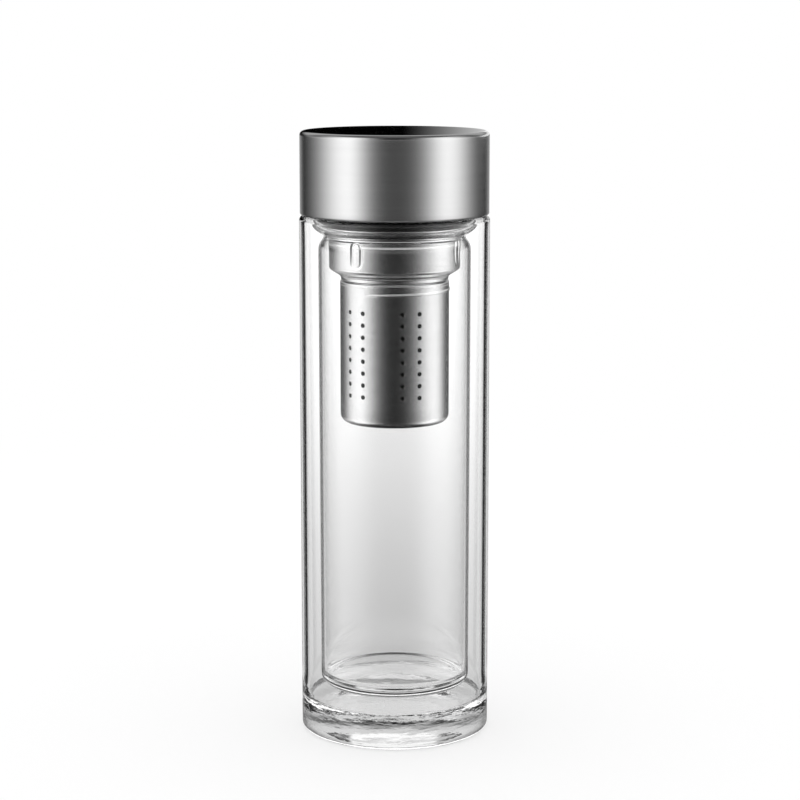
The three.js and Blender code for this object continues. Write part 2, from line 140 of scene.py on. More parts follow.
def bezier(start: Point, pull: Point, push: Point, stop: Point, steps: int = BEND_STEPS) -> Array:
    """Points of a cubic curve: each corner weighted by (1-t)^3, 3t(1-t)^2, 3t^2(1-t) and t^3."""
    t = np.linspace(0, 1, steps + 1)[:, None]
    corners = np.array((start, pull, push, stop), dtype=float)
    weights = np.concatenate(((1 - t) ** 3, 3 * t * (1 - t) ** 2, 3 * t**2 * (1 - t), t**3), axis=1)
    return weights @ corners


def chain(*stretches: Any) -> Array:
    """Stretches of a profile in a row, without the points that repeat where they meet.

    A whole number between two stretches is the number of even steps from the one to the other.
    """
    parts = []
    for place, stretch in enumerate(stretches):
        if isinstance(stretch, int):
            stretch = np.linspace(stretches[place - 1][-1], stretches[place + 1][0], stretch + 1)
        parts.append(stretch)
    line = np.concatenate(parts)
    gaps = np.linalg.norm(np.diff(line, axis=0).reshape(len(line) - 1, -1), axis=1)
    return line[np.concatenate(([True], gaps > SAME_POINT))]


def beside(line: Array, distance: float) -> Array:
    """A profile moved sideways, to the right of its own direction, with mitred corners."""
    headings = np.diff(line, axis=0)
    headings /= np.linalg.norm(headings, axis=1, keepdims=True)
    before = np.concatenate((headings[:1], headings))
    after = np.concatenate((headings, headings[-1:]))
    mean = before + after
    mean /= np.linalg.norm(mean, axis=1, keepdims=True)
    stretch = distance / np.maximum(np.sum(mean * after, axis=1), 0.5)
    return line + np.stack((mean[:, 1], -mean[:, 0]), axis=-1) * stretch[:, None]


def half_round(start: Array, stop: Array, steps: int = 6) -> Array:
    """A half circle from one point to another that bulges to the right of the way between them."""
    centre = (start + stop) / 2
    arm = (start - stop) / 2
    out = np.array((-arm[1], arm[0]))
    angles = np.linspace(0, math.pi, steps + 1)[1:-1, None]
    return centre + arm * np.cos(angles) + out * np.sin(angles)


def sheet_ring(line: Array, thickness: float) -> Array:
    """A closed profile of one thickness behind a line, with both of its edges rounded."""
    inner = beside(line, -thickness)[::-1]
    return chain(line, half_round(line[-1], inner[0]), inner, half_round(inner[-1], line[0]))


def even_turns(count: int = ROUND_COLUMNS) -> Array:
    """Turns that share a full turn evenly."""
    return np.linspace(0, FULL_TURN, count, endpoint=False)


def around(radius: Array, turns: Array, heights: Array) -> Array:
    """Points in space: x is radius times sine of turn, y is minus radius times cosine, z is the height."""
    radius, turns, heights = np.broadcast_arrays(radius, turns, heights)
    return np.stack((radius * np.sin(turns), -radius * np.cos(turns), heights), axis=-1)


def revolve(profile: Array, turns: Array, push: Array | float = 0.0, closed: bool = False) -> Surface:
    """Carries a profile once round the axis, moved outwards by an amount that may vary over the surface.

    Args:
        profile: Distances from the axis and heights, up the outside and down the inside.
        turns: The turns at which the profile is repeated.
        push: How far each point moves outwards, of shape (turns, profile points).
        closed: Whether the profile's last point meets its first.

    Returns:
        The surface, facing outwards.
    """
    radius = profile[None, :, 0] + push
    points = around(radius, turns[:, None], profile[None, :, 1])
    return Surface.from_grid(points, wrap_rows=True, wrap_columns=closed)


def smooth_step(share: Array) -> Array:
    """The curve 3s^2 - 2s^3 for a share s held between 0 and 1."""
    s = np.clip(share, 0, 1)
    return s * s * (3 - 2 * s)


def dome(share: Array, power: float = 1.0) -> Array:
    """The curve (1 - s^2)^power for a share s of a half width, and zero beyond it."""
    return np.clip(1 - share**2, 0, 1) ** power


@dataclass(frozen=True)
class Thread:
    """A right-hand helical ridge."""

    pitch: float
    turns: float
    start_turn: float
    start_height: float
    root_width: float
    crest_width: float
    depth: float

    def rise(self, turns: Array, heights: Array) -> Array:
        """How far the ridge stands out at each turn and height.

        The middle of the ridge climbs one pitch a turn. The rise falls from full depth at the crest's edge
        to nothing at the root's edge, and fades at both ends of the ridge.

        Args:
            turns: Turns about the axis, in radians from 0 to a full turn.
            heights: Heights of the profile points.

        Returns:
            The rise, of shape (turns, heights).
        """
        laps = np.arange(math.ceil(self.start_turn + self.turns) + 1)
        along = turns[:, None, None] / FULL_TURN + laps - self.start_turn
        away = np.abs(heights[None, :, None] - self.start_height - self.pitch * along)
        flank = (self.root_width / 2 - away) / ((self.root_width - self.crest_width) / 2)
        fade = np.minimum(along, self.turns - along) / THREAD_FADE
        return self.depth * np.max(smooth_step(flank) * smooth_step(fade), axis=-1)


@dataclass(frozen=True)
class Holes:
    """Round holes of one size in a thin wall that is described by two parameters."""

    centres: Array
    radius: float
    reach: Point
    sides: tuple[int, int]
    place: Callable[[Array, Array, Array, Array], tuple[Array, Array]]
    bevel: float = 0.07

    def border(self) -> Array:
        """Points round a square from -1 to 1, anticlockwise, with the chosen number of steps a side."""
        across = np.linspace(-1, 1, self.sides[0] + 1)[:-1]
        up = np.linspace(-1, 1, self.sides[1] + 1)[:-1]
        edges = (
            np.stack((across, np.full_like(across, -1)), axis=-1),
            np.stack((np.full_like(up, 1), up), axis=-1),
            np.stack((-across, np.full_like(across, 1)), axis=-1),
            np.stack((np.full_like(up, -1), -up), axis=-1),
        )
        return np.concatenate(edges)

    def circle(self, radius: float) -> tuple[Array, Array]:
        """Parameters of a circle about each centre, one point in the direction of each border point."""
        border = self.border()
        angle = np.arctan2(border[:, 1], border[:, 0])
        first, second = self.centres[:, :1], self.centres[:, 1:]
        return self.place(first, second, radius * np.cos(angle), radius * np.sin(angle))

    def covers(self, lines: Array, axis: int) -> Array:
        """Which steps between the given parameter lines lie within the square about a hole."""
        middles = (lines[1:] + lines[:-1]) / 2
        away = np.abs(middles[:, None] - self.centres[None, :, axis])
        return away < self.reach[axis]


def pierced_wall(first: Array, second: Array, near: Callable[[Array, Array], Array],
                 far: Callable[[Array, Array], Array], groups: tuple[Holes, ...],
                 thickness: float) -> Surface:
    """A wall between two surfaces with round holes through it.

    Each surface is a grid on the two parameters. The squares about the holes are left out of both grids, and
    rings fill them: from the square to the hole's edge on the near side, through the wall with a small
    bevel, and from the edge to the square on the far side.

    Args:
        first: Lines of the first parameter, the last a full turn after the first.
        second: Lines of the second parameter.
        near: Points of the near surface from the two parameters.
        far: Points of the far surface from the two parameters.
        groups: The holes.
        thickness: Distance between the surfaces.

    Returns:
        The surface of the wall, open at its two rims.
    """
    keep = np.ones((len(first) - 1, len(second) - 1), dtype=bool)
    for holes in groups:
        inside = holes.covers(first, 0)[:, None, :] & holes.covers(second, 1)[None, :, :]
        keep &= ~inside.any(axis=-1)
    lines = np.meshgrid(first, second, indexing="ij")
    parts = [
        Surface.from_grid(near(*lines), keep=keep),
        Surface.from_grid(far(*lines), keep=keep).flipped(),
    ]
    for holes in groups:
        border = holes.border()
        square = (holes.centres[:, :1] + border[:, 0] * holes.reach[0],
                  holes.centres[:, 1:] + border[:, 1] * holes.reach[1])
        rim = holes.circle(holes.radius + holes.bevel)
        bore = holes.circle(holes.radius)
        between = tuple((a + b) / 2 for a, b in zip(square, rim))
        share = holes.bevel / thickness
        rings = ((square, 0), (between, 0), (rim, 0), (bore, share),
                 (bore, 1 - share), (rim, 1), (between, 1), (square, 1))
        points = [near(*ring) * (1 - depth) + far(*ring) * depth for ring, depth in rings]
        parts.append(Surface.from_grid(np.stack(points, axis=-2), wrap_rows=True))
    return parts[0].joined(*parts[1:])


def math_method(operation: str) -> Callable[["Wire", Any], "Wire"]:
    """A method that puts a wire and another wire or number through a Math node."""
    def method(wire: "Wire", other: Any) -> "Wire":
        """The result of the Math node."""
        return wire.math(operation, other)
    return method


class Wire:
    """One output of a node tree. Sums, products and the like become Math nodes."""

    def __init__(self, tree: "Tree", socket: Any) -> None:
        """Keeps the tree and the socket that this wire comes from."""
        self.tree = tree
        self.socket = socket

    def math(self, operation: str, *others: Any) -> "Wire":
        """The result of a Math node on this wire and up to two other wires or numbers."""
        inputs = dict(enumerate((self, *others)))
        return self.tree.add("ShaderNodeMath", {"operation": operation}, inputs)

    def __rsub__(self, other: float) -> "Wire":
        """A number minus this wire."""
        return self.tree.add("ShaderNodeMath", {"operation": "SUBTRACT"}, {0: other, 1: self})

    __add__ = __radd__ = math_method("ADD")
    __mul__ = __rmul__ = math_method("MULTIPLY")
    __sub__ = math_method("SUBTRACT")
    __truediv__ = math_method("DIVIDE")
    __gt__ = math_method("GREATER_THAN")

    def eased(self, low: float, high: float) -> "Wire":
        """Zero at one value of this wire and one at another, with a smooth step between them."""
        return self.tree.add("ShaderNodeMapRange", {"interpolation_type": "SMOOTHSTEP"},
                             {"Value": self, "From Min": low, "From Max": high})

    def band(self, low: float, full_from: float, full_to: float, high: float) -> "Wire":
        """One between the middle two values of this wire, eased to zero at the outer two."""
        return self.eased(low, full_from) * self.eased(high, full_to)


class Tree:
    """A node tree that is filled by expressions."""

    def __init__(self, owner: Any) -> None:
        """Empties the node tree of a material or a world."""
        owner.use_nodes = True
        self.nodes = owner.node_tree.nodes
        self.links = owner.node_tree.links
        self.nodes.clear()

    def add(self, kind: str, settings: dict[str, Any] | None = None,
            inputs: dict[int | str, Any] | None = None, output: int | str = 0) -> Wire:
        """Adds a node.

        Args:
            kind: The node's type.
            settings: Its properties, which are set first.
            inputs: Numbers, colours or wires for its sockets, by name or place.
            output: The socket that the returned wire comes from.

        Returns:
            A wire from the chosen output.
        """
        node = self.nodes.new(kind)
        for name, value in (settings or {}).items():
            setattr(node, name, value)
        for name, value in (inputs or {}).items():
            if isinstance(value, Wire):
                self.links.new(value.socket, node.inputs[name])
            else:
                node.inputs[name].default_value = value
        return Wire(self, node.outputs[output] if len(node.outputs) else None)

    def place(self) -> tuple[Wire, Wire, Wire]:
        """The three Object coordinates of the surface, in metres."""
        coordinates = self.add("ShaderNodeTexCoord", output="Object")
        return self.split(coordinates)

    def split(self, vector: Wire) -> tuple[Wire, Wire, Wire]:
        """The three parts of a vector."""
        x = self.add("ShaderNodeSeparateXYZ", inputs={0: vector})
        outputs = x.socket.node.outputs
        return x, Wire(self, outputs[1]), Wire(self, outputs[2])

    def noise(self, x: Any, y: Any, z: Any, detail: float = 2.0) -> Wire:
        """Smooth noise, about one feature a unit, at the given coordinates."""
        place = self.add("ShaderNodeCombineXYZ", inputs={0: x, 1: y, 2: z})
        return self.add("ShaderNodeTexNoise", inputs={"Vector": place, "Scale": 1.0, "Detail": detail})

    def tint(self, share: Wire, dark: tuple[float, ...], light: tuple[float, ...]) -> Wire:
        """A colour between two others."""
        return self.add("ShaderNodeMix", {"data_type": "RGBA"}, {"Factor": share, 6: dark, 7: light}, 2)

    def bump(self, height: Wire, distance: float) -> Wire:
        """A normal from a height, where one unit of height is the given distance in metres."""
        return self.add("ShaderNodeBump", inputs={"Height": height, "Distance": distance, "Strength": 1.0})

    def surface(self, inputs: dict[int | str, Any]) -> None:
        """Ends a material in one Principled shader with the given inputs."""
        shader = self.add("ShaderNodeBsdfPrincipled", inputs=inputs)
        self.add("ShaderNodeOutputMaterial", inputs={"Surface": shader})


def grey(level: float) -> tuple[float, float, float, float]:
    """An opaque grey."""
    return (level, level, level, 1.0)


@dataclass(frozen=True)
class ClearGlass:
    """Clear borosilicate glass, with the faint waves of a blown wall and a pressed base."""

    name: str = "clear_glass"
    index: float = 1.47
    wave_distance: float = 0.00002
    wall_waves: tuple[float, float, float] = (60.0, 9.0, 0.5)
    base_waves: tuple[float, float, float] = (95.0, 420.0, 9.0)
    base_top: float = 0.0205
    base_fade: float = 0.008
    clearness: float = 0.985

    def material(self) -> bpy.types.Material:
        """Builds the material. Waves are their number a metre sideways and upwards, and their share."""
        material = bpy.data.materials.new(self.name)
        tree = Tree(material)
        x, y, z = tree.place()
        across, up, wall_share = self.wall_waves
        wall = tree.noise(x * across, y * across, z * up)
        across, up, base_share = self.base_waves
        pressed = tree.noise(x * across, y * across, z * up, 3.0)
        low = z.eased(self.base_top, self.base_top - self.base_fade)
        normal = tree.bump(wall * wall_share + pressed * low * base_share, self.wave_distance)
        tree.surface({
            "Base Color": grey(self.clearness), "Roughness": 0.0, "IOR": self.index,
            "Transmission Weight": 1.0, "Normal": normal,
        })
        return material


@dataclass(frozen=True)
class Steel:
    """Stainless steel with fine lines that run round the axis."""

    name: str
    level: float
    roughness: float
    anisotropy: float
    line_pitch: float
    line_height: float
    polished_above: float | None = None
    painted_shade_within: tuple[float, float, float] | None = None
    painted_foot_shade: tuple[float, float, float] | None = None
    line_run: float = 45.0
    band_run: float = 18.0
    band_pitches: float = 9.0
    cloud_grain: float = 110.0
    shares: tuple[float, float, float] = (0.55, 0.25, 0.2)
    rough_low: float = 0.75
    rough_spread: float = 0.5
    tint_spread: float = 0.12
    polish: float = 0.05
    polish_fade: float = 0.0002
    painted_shade_share: float = 0.15
    painted_foot_shade_share: float = 0.12

    def material(self) -> bpy.types.Material:
        """Builds the material: noise stretched along the lines tints, roughens and bumps the surface.

        The steel may be polished above a height. Painted shade darkens it inside a radius between two
        heights, and outside a radius where it falls from one height to another.
        """
        material = bpy.data.materials.new(self.name)
        tree = Tree(material)
        x, y, z = tree.place()
        reach = (x * x + y * y).math("SQRT")
        across = reach - z
        lines = tree.noise(x * self.line_run, y * self.line_run, across / self.line_pitch, 3.0)
        band_pitch = self.band_pitches * self.line_pitch
        bands = tree.noise(x * self.band_run, y * self.band_run, across / band_pitch)
        clouds = tree.noise(x * self.cloud_grain, y * self.cloud_grain, z * self.cloud_grain, 3.0)
        line_share, band_share, cloud_share = self.shares
        mix = lines * line_share + bands * band_share + clouds * cloud_share
        rough = mix * (self.rough_spread * self.roughness) + self.rough_low * self.roughness
        height = lines
        if self.polished_above is not None:
            polish = z.eased(self.polished_above - self.polish_fade, self.polished_above)
            rough = rough * (1 - polish) + polish * self.polish
            height = lines * (1 - polish)
        dark, light = (1 - self.tint_spread) * self.level, (1 + self.tint_spread) * self.level
        tint = tree.tint(mix, grey(dark), grey(light))
        # Painted shade: inside the given radius between two heights (the basket's inner wall and the walls of
        # its holes) the colour falls to a dark grey, standing in for the shade there.
        if self.painted_shade_within is not None:
            radius, low, high = self.painted_shade_within
            inside = (1 - (reach > radius)) * (z > low) * (1 - (z > high))
            tint = tree.tint(inside, tint, grey(self.painted_shade_share * self.level))
        # Painted shade: outside the given radius the colour falls to a dark grey as the surface drops from
        # one height to the other, standing in for the shade under the basket's rounded foot.
        if self.painted_foot_shade is not None:
            radius, high, low = self.painted_foot_shade
            tint = tree.tint((reach > radius) * z.eased(high, low), tint, grey(self.painted_foot_shade_share * self.level))
        tree.surface({
            "Base Color": tint,
            "Metallic": 1.0, "Roughness": rough,
            "Anisotropic": self.anisotropy, "Anisotropic Rotation": 0.25,
            "Normal": tree.bump(height, self.line_height),
        })
        return material


@dataclass(frozen=True)
class Moulded:
    """A moulded soft or hard plastic with a fine, even grain."""

    name: str
    level: float
    roughness: float
    grain: float = 2600.0
    grain_height: float = 0.00001
    glow: float = 0.0
    glow_reach: tuple[float, float, float] = (0.0015, 0.0015, 0.0015)
    broad_grain: float = 150.0
    rough_spread: float = 0.2
    tint_spread: float = 0.15

    def material(self) -> bpy.types.Material:
        """Builds the material: two sizes of noise tint, roughen and bump the surface."""
        material = bpy.data.materials.new(self.name)
        tree = Tree(material)
        x, y, z = tree.place()
        fine = tree.noise(x * self.grain, y * self.grain, z * self.grain)
        broad = tree.noise(x * self.broad_grain, y * self.broad_grain, z * self.broad_grain)
        mix = fine * 0.5 + broad * 0.5
        dark, light = (1 - self.tint_spread) * self.level, (1 + self.tint_spread) * self.level
        tree.surface({
            "Base Color": tree.tint(mix, grey(dark), grey(light)),
            "Roughness": mix * self.rough_spread + (self.roughness - self.rough_spread / 2),
            "Subsurface Weight": self.glow, "Subsurface Radius": self.glow_reach,
            "Normal": tree.bump(fine, self.grain_height),
        })
        return material


def add_object(name: str, surface: Surface, material: bpy.types.Material) -> bpy.types.Object:
    """Adds a surface to the scene as an object of one material."""
    mesh = bpy.data.meshes.new(name)
    mesh.from_pydata((surface.points * MM).tolist(), [], surface.faces.tolist())
    mesh.materials.append(material)
    piece = bpy.data.objects.new(name, mesh)
    bpy.context.scene.collection.objects.link(piece)
    return piece


class Finishes:
    """The materials of the tumbler, one for each slot."""

    def __init__(self) -> None:
        """Builds every material once."""
        recipes = {
            Slot.CLEAR_GLASS: ClearGlass(),
            Slot.POLISHED_STEEL: Steel(
                "drawn_steel", 0.78, 0.1, 0.4, 0.00022, 0.0000006,
                # The drawn steel carries painted shade inside the basket and under the basket's foot.
                painted_shade_within=(0.01887, 0.1135, 0.1538), painted_foot_shade=(0.016, 0.112, 0.1109)),
            Slot.BRUSHED_STEEL: Steel("brushed_steel", 0.72, 0.2, 0.6, 0.00012, 0.0000015, 0.21095),
            Slot.BLACK_PLASTIC: Moulded("black_plastic", 0.006, 0.2),
            Slot.SILICONE: Moulded("white_silicone", 0.72, 0.55, 1800.0, 0.000006, 0.3),
        }
        self.materials = {slot: recipe.material() for slot, recipe in recipes.items()}

    def make(self, name: str, surface: Surface, body: Body, slot: Slot, *nodes: str) -> bpy.types.Object:
        """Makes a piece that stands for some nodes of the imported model.

        Args:
            name: The piece's name.
            surface: Its surface, whose matching rims are joined here.
            body: The body that it moves with.
            slot: The material slot of its finish.
            nodes: The nodes that it stands for.

        Returns:
            The finished object.
        """
        piece = add_object(name, surface, self.materials[slot])
        mesh = piece.data
        shape = bmesh.new()
        shape.from_mesh(mesh)
        bmesh.ops.remove_doubles(shape, verts=shape.verts, dist=MERGE_MM * MM)
        shape.to_mesh(mesh)
        shape.free()
        mesh.shade_smooth()
        mesh.set_sharp_from_angle(angle=SHARP_EDGE)
        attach(piece, body.value)
        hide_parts(*nodes)
        LOG.info("%s: %d faces on %s", name, len(mesh.polygons), body.value)
        return piece


@dataclass
class GlassVessel:
    """Outer wall, liner and base, fused at the neck and the foot round a sealed gap."""

    body_radius: float = 33.0
    body_height: float = 182.0
    wall: float = 2.0
    foot_wall: float = 2.6
    shoulder_radius: float = 1.8
    shoulder_wall: float = 1.3
    base_thickness: float = 12.2
    base_edge_radius: float = 2.2
    base_fillet: float = 1.3
    punt_radius: float = 22.0
    punt_depth: float = 1.2
    neck_radius: float = 28.85
    neck_fillet: float = 0.6
    mouth_height: float = 199.5
    mouth_bore: float = 27.0
    lip: float = 0.74
    liner_bore: float = 24.8
    liner_wall: float = 1.7
    liner_draft: float = 0.3
    liner_floor: float = 3.6
    floor_height: float = 19.8
    corner_radius: float = 2.2
    heel_radius: float = 4.0
    waist_bore: float = 23.0
    waist_height: float = 174.8
    waist_run: float = 5.0
    funnel_pull: float = 0.47
    funnel_top: float = 180.3
    join_fillet: float = 0.4
    gap_round: float = 0.5
    thread: Thread = Thread(4.2, 1.25, 0.1, 188.5, 2.2, 0.9, 1.2)

    @property
    def join_height(self) -> float:
        """Height at which the liner meets the shoulder."""
        return self.body_height - self.shoulder_wall

    def funnel(self, steps: int = BEND_STEPS) -> Array:
        """The inside of the funnel between the waist and the neck, upwards."""
        pull = (self.funnel_top - self.waist_height) * self.funnel_pull
        return bezier((self.waist_bore, self.waist_height), (self.waist_bore, self.waist_height + pull),
                      (self.mouth_bore, self.funnel_top - pull), (self.mouth_bore, self.funnel_top), steps)

    def liner_side(self) -> Array:
        """The inside of the liner from above its rounded corner to the neck, upwards."""
        foot = self.liner_bore - self.liner_draft
        bore_top = self.waist_height - self.waist_run
        waist = bezier((self.liner_bore, bore_top), (self.liner_bore, bore_top + self.waist_run * 2 / 3),
                       (self.waist_bore, bore_top + self.waist_run / 2),
                       (self.waist_bore, self.waist_height))
        return chain(((foot, self.floor_height + self.corner_radius),), 40, waist, self.funnel())

    def outside(self) -> Array:
        """The skin that air touches: from under the base up to the mouth, and down inside to the floor."""
        sag = (self.punt_radius**2 + self.punt_depth**2) / (2 * self.punt_depth)
        reach = np.linspace(0, self.punt_radius, 15)
        punt = np.stack((reach, self.punt_depth - sag + np.sqrt(sag**2 - reach**2)), axis=-1)
        edge = self.body_radius - self.base_edge_radius
        shoulder_foot = self.body_height - self.shoulder_radius
        neck_foot = self.body_height + self.neck_fillet
        lip_height = self.mouth_height - self.lip
        corner = self.liner_bore - self.liner_draft - self.corner_radius
        return chain(
            punt, 5,
            arc(edge, self.base_edge_radius, self.base_edge_radius, 270, 360, 12), 50,
            arc(self.body_radius - self.shoulder_radius, shoulder_foot, self.shoulder_radius, 0, 90, 14),
            arc(self.neck_radius + self.neck_fillet, neck_foot, self.neck_fillet, 270, 180, 6), 64,
            arc(self.neck_radius - self.lip, lip_height, self.lip, 0, 90),
            arc(self.mouth_bore + self.lip, lip_height, self.lip, 90, 180), 10,
            self.liner_side()[::-1],
            arc(corner, self.floor_height + self.corner_radius, self.corner_radius, 360, 270, 12), 14,
            ((0, self.floor_height),),
        )

    def gap(self) -> Array:
        """The skin of the sealed gap: up along the liner, over under the shoulder and down to the base."""
        under = self.floor_height - self.liner_floor
        foot = self.liner_bore - self.liner_draft + self.liner_wall
        heel = foot - self.heel_radius
        side = beside(self.liner_side(), self.liner_wall)
        side = side[side[:, 1] < self.funnel_top]
        join = self.mouth_bore + self.liner_wall
        bore = self.body_radius - self.wall
        bend = self.gap_round
        low_bore = self.body_radius - self.foot_wall
        fillet_height = self.base_thickness + self.base_fillet
        return chain(
            ((0, under),), 14,
            arc(heel, under + self.heel_radius, self.heel_radius, 270, 360, 16),
            side[1:],
            arc(join + self.join_fillet, self.join_height - self.join_fillet, self.join_fillet, 180, 90, 5),
            arc(bore - bend, self.join_height - bend, bend, 90, 0, 6), 46,
            arc(low_bore - self.base_fillet, fillet_height, self.base_fillet, 0, -90, 8), 16,
            ((0, self.base_thickness),),
        )

    def build(self, finishes: Finishes) -> None:
        """Makes the vessel as one piece of glass."""
        turns = even_turns()
        profile = self.outside()
        on_neck = profile[:, 0] > self.mouth_bore + self.lip
        push = self.thread.rise(turns, profile[:, 1]) * on_neck
        surface = revolve(profile, turns, push).joined(revolve(self.gap(), turns))
        finishes.make("fused_glass_vessel", surface, Body.GLASS, Slot.CLEAR_GLASS,
                      "outer_glass_wall", "inner_glass_liner", "glass_base")


@dataclass
class Infuser:
    """The steel tea infuser: fluted collar, sieve disc and screw-on basket."""

    vessel: GlassVessel
    sheet: float = 0.5
    seat_gap: float = 0.35
    rim_reach: float = 0.62
    collar_radius: float = 22.7
    collar_foot: float = 164.6
    collar_top: float = 174.5
    lip_radius: float = 18.65
    lip_round: float = 0.3
    lip_top: float = 160.7
    shoulder_pull: float = 0.35
    beads: tuple[Point, ...] = ((172.1, 0.045), (174.8, 0.16), (176.1, 0.17))
    bead_half_width: float = 0.55
    spigot_radius: float = 17.45
    spigot_top: float = 160.1
    spigot_foot: float = 155.1
    flute_turns: tuple[float, ...] = (-33.6, 67.0, 146.4, 247.0)
    flute_half_width: float = 2.5
    flute_half_length: float = 4.7
    flute_depth: float = 0.5
    flute_line: float = 0.7
    flute_line_half: float = 0.3
    flute_height: float = 169.6
    flute_flat: float = 0.3
    flute_run_out: float = 0.4
    flute_columns: int = 35
    flute_reach: float = 6.5
    flute_clear: float = 1.1
    collar_columns: int = 132
    basket_radius: float = 18.9
    basket_foot: float = 110.2
    basket_top: float = 159.5
    basket_corner: float = 3.0
    pierced_from: float = 118.9
    pierced_to: float = 151.8
    ledge_height: float = 153.4
    ledge_depth: float = 0.6
    ledge_half_width: float = 0.7
    ring_line: float = 158.62
    ring_line_depth: float = 0.12
    ring_line_half_width: float = 0.16
    hole_radius: float = 0.75
    hole_square: float = 1.25
    hole_rows: int = 8
    hole_pitch: float = 4.13
    first_row: float = 149.8
    hole_pairs: int = 6
    hole_pair_turn: float = 17.0
    hole_pair_half_angle: float = 9.0
    disc_radius: float = 18.1
    disc_foot: float = 154.2
    disc_thickness: float = 0.6
    disc_hole: float = 0.9
    disc_ring_step: float = 5.6
    disc_square: float = 1.45
    disc_columns: int = 96
    spigot_thread: Thread = Thread(2.4, 0.7, 0.05, 155.85, 1.0, 0.4, 0.65)
    basket_thread: Thread = Thread(2.4, 0.7, 0.05, 156.95, 1.0, 0.4, 0.65)
    basket_bead: Thread = Thread(2.4, 0.75, 0.9, 155.9, 1.1, 0.3, 0.3)

    def collar_line(self) -> Array:
        """The outside of the collar: up the spigot, out to the lip, up the shoulder, tube and rim."""
        pull = (self.collar_foot - self.lip_top) * self.shoulder_pull
        bend = self.lip_round
        rim = beside(self.vessel.funnel(40), -self.seat_gap)
        rim = rim[:int(40 * self.rim_reach) + 1:2]
        return chain(
            ((self.spigot_radius, self.spigot_foot),), 30,
            arc(self.spigot_radius + bend, self.spigot_top - bend, bend, 180, 90, 4),
            arc(self.lip_radius - bend, self.spigot_top + bend, bend, 270, 360, 6),
            bezier((self.lip_radius, self.lip_top), (self.lip_radius, self.lip_top + pull),
                   (self.collar_radius, self.collar_foot - pull),
                   (self.collar_radius, self.collar_foot), 18), 56,
            ((self.collar_radius, self.collar_top),),
            rim,
        )

    def from_flute(self, turns: Array) -> Array:
        """The smallest turn from each of the given turns to the middle of a flute."""
        swing = (turns[:, None] - np.radians(self.flute_turns) + math.pi) % FULL_TURN - math.pi
        return np.min(np.abs(swing), axis=1)

    def flutes(self, turns: Array, heights: Array) -> Array:
        """How far the finger flutes are pressed in at each turn and height.

        A flute is a flat arch. A rounded line is pressed round its sides and top, and runs out at its foot.

        Args:
            turns: Turns about the axis, in radians.
            heights: Heights of the profile points.

        Returns:
            The depth, of shape (turns, heights).
        """
        aside = self.from_flute(turns) * self.collar_radius
        straight_half = self.flute_half_length - self.flute_half_width
        above = np.maximum(np.abs(heights - self.flute_height) - straight_half, 0)
        away = np.hypot(aside[:, None], above[None, :]) / self.flute_half_width
        run_out = (heights - self.flute_height) / self.flute_half_length * self.flute_run_out
        run_out = run_out + (1 - self.flute_run_out)
        line = dome((away - self.flute_line) / self.flute_line_half, PRESSED_POWER)
        flat = smooth_step((1 - away) / self.flute_line_half) * self.flute_flat
        return self.flute_depth * np.clip(run_out, 0, 1) * np.maximum(line, flat)

    def collar_turns(self) -> Array:
        """Turns for the collar's columns, close together at the flutes."""
        near = np.radians(np.linspace(-self.flute_reach, self.flute_reach, self.flute_columns))
        middles = np.radians(self.flute_turns)
        fine = (middles[:, None] + near).ravel() % FULL_TURN
        coarse = even_turns(self.collar_columns)
        coarse = coarse[self.from_flute(coarse) > near[-1] * self.flute_clear]
        return np.sort(np.concatenate((fine, coarse)))

    def build_collar(self, finishes: Finishes) -> None:
        """Makes the collar."""
        profile = sheet_ring(self.collar_line(), self.sheet)
        turns = self.collar_turns()
        heights = profile[:, 1]
        on_spigot = (heights < self.spigot_top - self.lip_round) & (profile[:, 0] < self.lip_radius)
        push = self.spigot_thread.rise(turns, heights) * on_spigot - self.flutes(turns, heights)
        for middle, rise in self.beads:
            push += rise * dome((heights - middle) / self.bead_half_width)
        finishes.make("fluted_collar", revolve(profile, turns, push, closed=True),
                      Body.INFUSER, Slot.POLISHED_STEEL, "infuser_collar")

    @property
    def pair_turns(self) -> Array:
        """Turns of the pairs of hole columns, in degrees."""
        return self.hole_pair_turn + 360 / self.hole_pairs * np.arange(self.hole_pairs)

    def basket_lines(self) -> tuple[Array, Array]:
        """Turns and heights of the basket's grid, which run along the squares about the holes."""
        square = math.degrees(self.hole_square / self.basket_radius)
        half = self.hole_pair_half_angle
        pair = np.concatenate((
            -half + np.linspace(-square, square, 5),
            np.linspace(square - half, half - square, 6)[1:-1],
            half + np.linspace(-square, square, 5),
            np.linspace(half + square, 360 / self.hole_pairs - half - square, 15)[1:-1],
        ))
        degrees = (self.pair_turns[:, None] + pair).ravel()
        turns = np.radians(np.append(degrees, degrees[0] + 360))
        rows = self.first_row - self.hole_pitch * np.arange(self.hole_rows)[::-1]
        steps = (rows[:, None] + np.linspace(-self.hole_square, self.hole_square, 5)).ravel()
        return turns, np.concatenate(([self.pierced_from], steps, [self.pierced_to]))

    def basket_holes(self) -> Holes:
        """Pairs of columns of holes, all round the basket."""
        halves = self.hole_pair_half_angle * np.array((-1, 1))
        columns = np.radians(self.pair_turns[:, None] + halves).ravel()
        rows = self.first_row - self.hole_pitch * np.arange(self.hole_rows)
        centres = np.stack(np.meshgrid(columns, rows, indexing="ij"), axis=-1).reshape(-1, 2)
        radius = self.basket_radius
        return Holes(centres, self.hole_radius, (self.hole_square / radius, self.hole_square), (4, 4),
                     lambda turn, height, aside, up: (turn + aside / radius, height + up))

